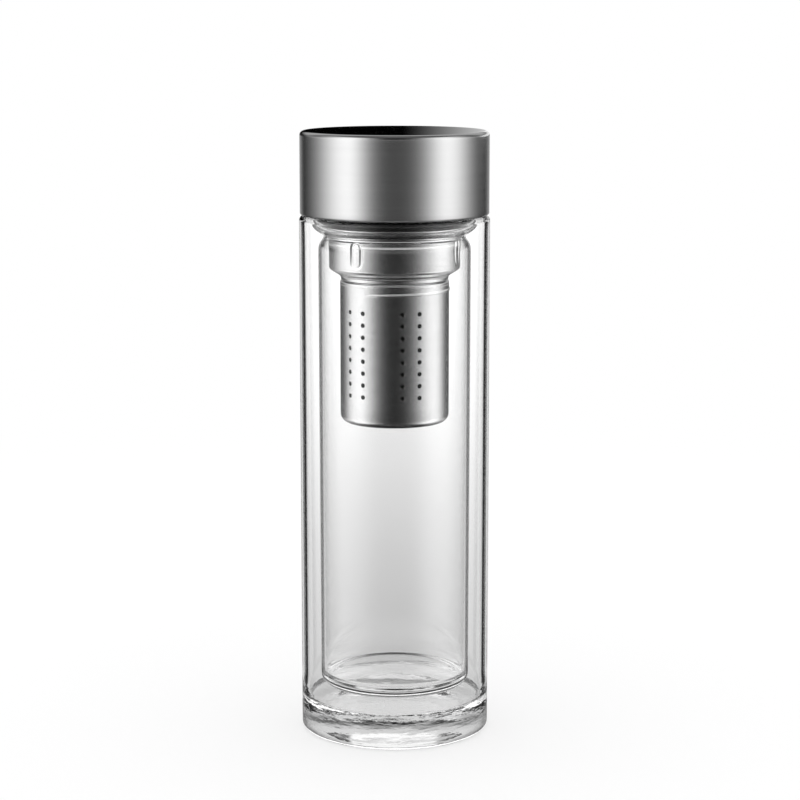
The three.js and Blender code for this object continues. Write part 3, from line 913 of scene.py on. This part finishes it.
    def build_basket(self, finishes: Finishes) -> None:
        """Makes the basket: a pierced tube, the cup below it and the threaded ring above it."""
        outer, inner = self.basket_radius, self.basket_radius - self.sheet
        turns, heights = self.basket_lines()
        tube = pierced_wall(
            turns, heights,
            lambda turn, height: around(np.asarray(outer), turn, height),
            lambda turn, height: around(np.asarray(inner), turn, height),
            (self.basket_holes(),), self.sheet)
        columns = turns[:-1]
        corner, foot = self.basket_corner, self.basket_foot
        cup_outside = chain(
            ((0, foot),), 14,
            arc(outer - corner, foot + corner, corner, 270, 360, 12), 4,
            ((outer, self.pierced_from),),
        )
        cup_inside = beside(cup_outside, -self.sheet)
        cup_inside[0, 0] = 0
        cup_inside[-1, 1] = self.pierced_from
        ring = self.ring_profile(outer, inner)
        laps = columns % FULL_TURN
        on_outside = ring[:, 0] > (outer + inner) / 2
        bead = self.basket_bead.rise(laps, ring[:, 1]) * on_outside
        ridge = self.basket_thread.rise(laps, ring[:, 1]) * ~on_outside
        below_edge = (ring[:, 1] < self.basket_top - self.sheet) | on_outside
        surface = tube.joined(
            revolve(cup_outside, columns), revolve(cup_inside[::-1], columns),
            revolve(ring, columns, bead - ridge * below_edge))
        finishes.make("pierced_basket", surface, Body.BASKET, Slot.POLISHED_STEEL, "infuser_basket")

    def ring_profile(self, outer: float, inner: float) -> Array:
        """The basket above its holes: up the outside with a fine ring line, down past the ledge inside."""
        edge = self.basket_top - self.sheet / 2
        up = np.linspace(self.pierced_to, edge, 56)
        line = dome((up - self.ring_line) / self.ring_line_half_width)
        outside = np.stack((outer - self.ring_line_depth * line, up), axis=-1)
        ledge = 1 - np.abs(up - self.ledge_height) / self.ledge_half_width
        inside = np.stack((inner - self.ledge_depth * smooth_step(ledge), up), axis=-1)[::-1]
        return chain(outside, half_round(outside[-1], inside[0]), inside)

    def build_disc(self, finishes: Finishes) -> None:
        """Makes the sieve disc: a pierced plate with a middle hole and two rings of holes."""
        turns = np.linspace(0, FULL_TURN, self.disc_columns + 1)
        step, square = self.disc_ring_step, self.disc_square
        cell = np.linspace(-square, square, 5)
        radii = chain((self.disc_hole,), 3, step + cell, 2 * step + cell, 5, (self.disc_radius,))

        def polar(turn: Array, radius: Array, aside: Array, out: Array) -> tuple[Array, Array]:
            """Turn and radius of a point beside and beyond a centre."""
            return turn + np.arctan2(aside, radius + out), np.hypot(radius + out, aside)

        groups = []
        for ring, wide in ((1, 8), (2, 4)):
            count = 6 * ring
            half = FULL_TURN / self.disc_columns * wide / 2
            middles = half + FULL_TURN / count * np.arange(count)
            centres = np.stack((middles, np.full(count, ring * step)), axis=-1)
            groups.append(Holes(centres, self.disc_hole, (half, square), (wide, 4), polar))
        foot, top = self.disc_foot, self.disc_foot + self.disc_thickness
        plate = pierced_wall(
            turns, radii,
            lambda turn, radius: around(radius, turn, np.asarray(foot)),
            lambda turn, radius: around(radius, turn, np.asarray(top)),
            tuple(groups), self.disc_thickness)
        bend = self.disc_thickness / 2
        edge = np.array(((self.disc_radius, foot), (self.disc_radius, top)))
        rim = chain(edge[:1], half_round(*edge), edge[1:])
        rim[:, 0] = np.minimum(rim[:, 0], self.disc_radius + bend / 2)
        bore = np.array(((self.disc_hole, top), (self.disc_hole, foot)))
        surface = plate.joined(revolve(rim, turns[:-1]), revolve(bore, turns[:-1]))
        finishes.make("sieve_disc", surface, Body.STRAINER, Slot.POLISHED_STEEL, "strainer_disc")

    def build(self, finishes: Finishes) -> None:
        """Makes the three pieces."""
        self.build_collar(finishes)
        self.build_disc(finishes)
        self.build_basket(finishes)


@dataclass
class Lid:
    """The screw lid: sealing ring, inner plate, moulded thread cap and brushed cover."""

    radius: float = 32.7
    foot: float = 182.3
    top: float = 211.0
    cover_sheet: float = 0.5
    edge_radius: float = 1.6
    hem: float = 1.65
    hem_radius: float = 0.7
    cap_radius: float = 31.9
    cap_bore: float = 30.45
    cap_foot: float = 183.1
    cap_top: float = 208.9
    plug_radius: float = 26.6
    plug_bore: float = 25.2
    plug_foot: float = 179.7
    ceiling: float = 201.3
    ceiling_thickness: float = 2.2
    cap_round: float = 0.3
    seal_inner: float = 26.95
    seal_outer: float = 28.7
    seal_foot: float = 199.5
    seal_round: float = 0.45
    plate_radius: float = 24.9
    plate_thickness: float = 0.6
    plate_step_radius: float = 19.0
    plate_step_half_width: float = 1.4
    plate_step_depth: float = 0.3
    cap_columns: int = 160
    ring_columns: int = 128
    thread: Thread = Thread(4.2, 1.25, 0.1, 186.75, 2.2, 0.9, 1.2)

    def build_cover(self, finishes: Finishes) -> None:
        """Makes the cover: a drawn cap with a rounded edge and a hem turned in."""
        edge, hem = self.radius - self.edge_radius, self.radius - self.hem_radius
        line = chain(
            ((self.radius - self.hem, self.foot),), 2,
            arc(hem, self.foot + self.hem_radius, self.hem_radius, 270, 360, 8), 16,
            arc(edge, self.top - self.edge_radius, self.edge_radius, 0, 90, 14), 16,
            ((0, self.top),),
        )
        inner = beside(line, -self.cover_sheet)[::-1]
        inner[0, 0] = 0
        profile = chain(inner, half_round(inner[-1], line[0]), line)
        finishes.make("brushed_cover", revolve(profile, even_turns()),
                      Body.CAP, Slot.BRUSHED_STEEL, "lid_shell")

    def build_cap(self, finishes: Finishes) -> None:
        """Makes the moulded cap: ceiling, plug, skirt with rounded edges and the thread inside the skirt."""
        bend = self.cap_round
        roof = self.ceiling + self.ceiling_thickness
        tip = self.plug_foot + 2 * bend
        profile = chain(
            ((0, self.ceiling),), 12,
            ((self.plug_bore, self.ceiling),), 8,
            arc(self.plug_bore + bend, self.plug_foot + bend, bend, 180, 270, 4),
            arc(self.plug_radius - 2 * bend, tip, 2 * bend, 270, 360, 6), 8,
            ((self.plug_radius, self.ceiling),), 4,
            ((self.cap_bore, self.ceiling),), 66,
            arc(self.cap_bore + bend, self.cap_foot + bend, bend, 180, 270, 4),
            arc(self.cap_radius - bend, self.cap_foot + bend, bend, 270, 360, 4), 12,
            arc(self.cap_radius - bend, self.cap_top - bend, bend, 0, 90, 4),
            arc(self.cap_bore + bend, self.cap_top - bend, bend, 90, 180, 4), 3,
            ((self.cap_bore, roof),), 14,
            ((0, roof),),
        )
        on_bore = np.abs(profile[:, 0] - self.cap_bore) < bend
        turns = even_turns(self.cap_columns)
        push = -self.thread.rise(turns, profile[:, 1]) * on_bore
        finishes.make("moulded_thread_cap", revolve(profile, turns, push),
                      Body.CAP, Slot.BLACK_PLASTIC, "lid_thread_liner")

    def build_seal(self, finishes: Finishes) -> None:
        """Makes the sealing ring, a soft ring of rounded square section."""
        bend = self.seal_round
        low, high = self.seal_foot + bend, self.ceiling - bend
        near, far = self.seal_inner + bend, self.seal_outer - bend
        profile = chain(
            arc(far, low, bend, 270, 360, 5), arc(far, high, bend, 0, 90, 5),
            arc(near, high, bend, 90, 180, 5), arc(near, low, bend, 180, 270, 5))
        finishes.make("sealing_ring", revolve(profile, even_turns(self.ring_columns), closed=True),
                      Body.GASKET, Slot.SILICONE, "lid_gasket")

    def build_plate(self, finishes: Finishes) -> None:
        """Makes the inner plate: a disc with a shallow ring pressed up from below and a rounded edge."""
        foot = self.ceiling - self.plate_thickness
        reach = np.linspace(0, self.plate_radius - self.plate_thickness / 2, 60)
        hollow = dome((reach - self.plate_step_radius) / self.plate_step_half_width, PRESSED_POWER)
        under = np.stack((reach, foot + self.plate_step_depth * hollow), axis=-1)
        edge = np.array((reach[-1], self.ceiling))
        profile = chain(under, half_round(under[-1], edge), edge[None], 10, ((0, self.ceiling),))
        finishes.make("drink_side_plate", revolve(profile, even_turns(self.ring_columns)),
                      Body.PLATE, Slot.POLISHED_STEEL, "lid_inner_plate")

    def build(self, finishes: Finishes) -> None:
        """Makes the four pieces."""
        self.build_seal(finishes)
        self.build_plate(finishes)
        self.build_cap(finishes)
        self.build_cover(finishes)


@dataclass(frozen=True)
class StripLight:
    """A tall soft light beside the tumbler, at an angle in degrees from the front, positive to the right."""

    angle: float
    front_spread: float
    back_spread: float
    strength: float

    def glow(self, angle: Wire) -> Wire:
        """Brightness by angle: a bell curve with one spread towards the front and one towards the back."""
        side = math.copysign(1, self.angle)
        away = angle * side - abs(self.angle)
        spread = (away > 0) * (self.back_spread - self.front_spread) + self.front_spread
        share = away / spread
        return (share * share * -0.5).math("EXPONENT") * self.strength


@dataclass(frozen=True)
class Patch:
    """A soft-edged patch of light. A band is where it starts, is full, falls and ends, in degrees."""

    strength: float
    rise: Band
    aside: Band | None = None

    def glow(self, aside: Wire, rise: Wire) -> Wire:
        """Brightness by the angle aside and the angle above the level."""
        level = rise.band(*self.rise) * self.strength
        return level if self.aside is None else level * aside.band(*self.aside)


FRONT = (-2.0, -1.0, 115.0, 150.0)
BEHIND = (115.0, 150.0, 181.0, 182.0)
STRAIGHT_DOWN = (-92.0, -91.0, -76.0, -62.0)
UNDER_LEVEL = (-92.0, -91.0, -1.0, 1.0)
TABLE_RISE = (-78.0, -64.0, -38.0, -22.0)
WALL_RISE = (9.0, 22.0, 48.0, 66.0)
OVERHEAD = (40.0, 64.0, 91.0, 92.0)


@dataclass(frozen=True)
class Mirror:
    """What one kind of mirror shows: strip lights and patches, by angles from the front and above the level.

    Turn widens or narrows the angles of the strips. Low is their share near the table.
    """

    turn: float
    strips: float
    low: float
    strip_aside: Band | None
    patches: tuple[Patch, ...]
    strip_rise: Band = (-64.0, -46.0, 38.0, 56.0)
    low_from: float = -12.5
    low_to: float = -10.0

    def glow(self, lights: tuple[StripLight, ...], angle: Wire, rise: Wire) -> Wire:
        """Brightness of all that the mirror shows."""
        aside = angle.math("ABSOLUTE")
        fade = rise.eased(self.low_from, self.low_to) * (1 - self.low) + self.low
        strips = Patch(self.strips, self.strip_rise, self.strip_aside).glow(aside, rise) * fade
        level = sum(light.glow(angle * self.turn) for light in lights) * strips
        return level + sum(patch.glow(aside, rise) for patch in self.patches)


BARE = Mirror(1.0, 1.0, 0.45, None, (
    Patch(0.12, OVERHEAD),
    Patch(0.22, (1.0, 4.0, 10.0, 18.0), FRONT),
    Patch(0.45, WALL_RISE, BEHIND),
    Patch(0.3, (-34.0, -24.0, -2.0, 2.0), (140.0, 164.0, 181.0, 182.0)),
    Patch(0.5, (-34.0, -24.0, -2.0, 2.0), (164.0, 174.0, 181.0, 182.0)),
    Patch(0.7, STRAIGHT_DOWN),
    Patch(0.7, TABLE_RISE, BEHIND),
    Patch(0.07, UNDER_LEVEL, FRONT),
    Patch(0.021, UNDER_LEVEL, BEHIND),
))
THIN = Mirror(1.2, 0.25, 0.45, None, (
    Patch(1.1, OVERHEAD),
    Patch(0.7, (6.0, 24.0, 40.0, 64.0)),
    Patch(0.95, (-36.0, -26.0, 0.0, 6.0), (159.0, 163.0, 181.0, 182.0)),
    Patch(0.75, (-36.0, -26.0, 0.0, 6.0), (70.0, 110.0, 142.5, 146.5)),
    Patch(0.7, STRAIGHT_DOWN),
    Patch(0.7, TABLE_RISE, (35.0, 75.0, 181.0, 182.0)),
    Patch(0.028, UNDER_LEVEL, FRONT),
    Patch(0.0084, UNDER_LEVEL, BEHIND),
))
DEEP = Mirror(0.74, 1.2, 1.0, (-2.0, -1.0, 96.0, 146.0), (
    Patch(1.1, OVERHEAD),
    Patch(0.45, WALL_RISE, BEHIND),
    Patch(0.5, (-58.0, -42.0, -26.0, -14.0), (60.0, 110.0, 150.0, 168.0)),
    Patch(0.7, (2.0, 10.0, 40.0, 64.0)),
    Patch(0.07, STRAIGHT_DOWN),
    Patch(0.07, TABLE_RISE, BEHIND),
    Patch(0.028, UNDER_LEVEL, FRONT),
    Patch(0.0084, UNDER_LEVEL, BEHIND),
))


@dataclass
class Studio:
    """White backdrop and floor, strip lights, and the camera of the photograph's view."""

    lights: tuple[StripLight, ...] = (
        StripLight(-58.0, 17.0, 28.0, 1.32),
        StripLight(66.7, 19.5, 23.0, 1.24),
    )
    lid_top: Patch = Patch(0.95, (-0.5, 0.5, 9.0, 14.0), (0.15, 3.85, 40.0, 62.0))
    soft_fill: float = 1.16
    backdrop_top: float = 1.42
    backdrop_low: float = 0.68
    backdrop_from: float = -17.5
    backdrop_to: float = -5.5
    deep_passes: float = 6.5
    floor_radius: float = 2.5
    floor_drop: float = 0.05
    floor_paint: float = 0.9
    floor_near: float = 0.6
    floor_clear_from: float = 0.3
    floor_clear_to: float = 0.6
    camera_place: tuple[float, float, float] = (0.0, -0.8, 0.2538)
    camera_pitch: float = 9.693
    camera_yaw: float = -0.134
    lens: float = 104.4
    sensor: float = 36.0

    def studio_light(self, angle: Wire, back: Wire, rise: Wire, through: Wire, deep: Wire) -> Wire:
        """Brightness of the studio that steel and glass mirror.

        Two strip lights stand beside the tumbler, a white panel hangs overhead and the white backdrop
        stands behind. Mirrored in the edges of the glass, the backdrop is a bright stripe beside a dark one.

        Args:
            angle: Angle from the front, in degrees, positive to the right.
            back: Angle from straight behind, in degrees, positive to the right.
            rise: Angle above the level, in degrees.
            through: One where the mirror lies in or behind glass.
            deep: One where the mirror is the infuser, behind both walls.

        Returns:
            The brightness.
        """
        bare = BARE.glow(self.lights, angle, rise) + self.lid_top.glow(back, rise)
        thin = THIN.glow(self.lights, angle, rise)
        infuser = DEEP.glow(self.lights, angle, rise)
        return bare * (1 - through) + thin * (through - deep) + infuser * deep

    def build_world(self) -> None:
        """Lights the scene: white for the camera, even fill for dull stuff, the studio for mirrors."""
        world = bpy.data.worlds.new("white_studio")
        bpy.context.scene.world = world
        world.cycles.sampling_method = "NONE"
        tree = Tree(world)
        x, y, z = tree.split(tree.add("ShaderNodeTexCoord", output="Generated"))
        degrees = 180 / math.pi
        angle = x.math("ARCTAN2", y * -1) * degrees
        back = x.math("ARCTAN2", y) * degrees
        rise = z.math("ARCSINE") * degrees
        camera = tree.add("ShaderNodeLightPath", output="Is Camera Ray")
        path = camera.socket.node.outputs
        dull, mirrored, through = (Wire(tree, path[name]) > 0.5 for name in
                                   ("Diffuse Depth", "Glossy Depth", "Transmission Depth"))
        deep = Wire(tree, path["Transmission Depth"]) > self.deep_passes
        height = rise.eased(self.backdrop_from, self.backdrop_to)
        backdrop = height * (self.backdrop_top - self.backdrop_low) + self.backdrop_low
        studio = self.studio_light(angle, back, rise, through, deep)
        seen = studio * mirrored + backdrop * (1 - mirrored)
        lit = dull * self.soft_fill + (1 - dull) * seen
        level = camera + (1 - camera) * lit
        light = tree.add("ShaderNodeBackground", inputs={"Color": grey(1.0), "Strength": level})
        tree.add("ShaderNodeOutputWorld", inputs={"Surface": light})

    def build_floor(self) -> None:
        """Makes the floor, a round sheet whose far part is plain white to the camera."""
        radii = np.linspace(0, self.floor_radius / MM, 25)
        profile = np.stack((radii, np.full_like(radii, -self.floor_drop)), axis=-1)
        surface = revolve(profile, even_turns(64)).flipped()
        material = bpy.data.materials.new("white_floor")
        tree = Tree(material)
        x, y, _ = tree.place()
        reach = (x * x + y * y).math("SQRT")
        paint = tree.add("ShaderNodeBsdfDiffuse", inputs={"Color": grey(self.floor_paint)})
        shine = tree.add("ShaderNodeEmission", inputs={"Color": grey(1.0), "Strength": 1.0})
        camera = tree.add("ShaderNodeLightPath", output="Is Camera Ray")
        clear = reach.eased(self.floor_clear_from, self.floor_clear_to)
        far = (clear * (1 - self.floor_near) + self.floor_near) * camera
        blend = tree.add("ShaderNodeMixShader", inputs={0: far, 1: paint, 2: shine})
        tree.add("ShaderNodeOutputMaterial", inputs={"Surface": blend})
        floor = add_object("studio_floor", surface, material)
        floor.visible_glossy = False
        floor.visible_transmission = False

    def build_camera(self) -> None:
        """Makes the camera: level sideways, looking down at the tumbler, with no shift."""
        camera = bpy.data.cameras.new("camera")
        camera.lens = self.lens
        camera.sensor_width = self.sensor
        camera.dof.use_dof = False
        holder = bpy.data.objects.new("camera", camera)
        holder.location = self.camera_place
        holder.rotation_euler = (math.radians(90 - self.camera_pitch), 0, math.radians(self.camera_yaw))
        bpy.context.scene.collection.objects.link(holder)
        bpy.context.scene.camera = holder

    def build(self) -> None:
        """Makes the studio and lets light bounce often enough for thick glass."""
        scene = bpy.context.scene
        scene.view_settings.view_transform = "Standard"
        scene.cycles.max_bounces = 24
        scene.cycles.glossy_bounces = 6
        scene.cycles.transmission_bounces = 24
        self.build_camera()
        self.build_world()
        self.build_floor()


def main() -> None:
    """Builds the studio and the tumbler, piece by piece."""
    logging.basicConfig(level=logging.INFO, format="%(message)s")
    Studio().build()
    finishes = Finishes()
    vessel = GlassVessel()
    vessel.build(finishes)
    Infuser(vessel).build(finishes)
    Lid().build(finishes)


if __name__ == "__main__":
    main()
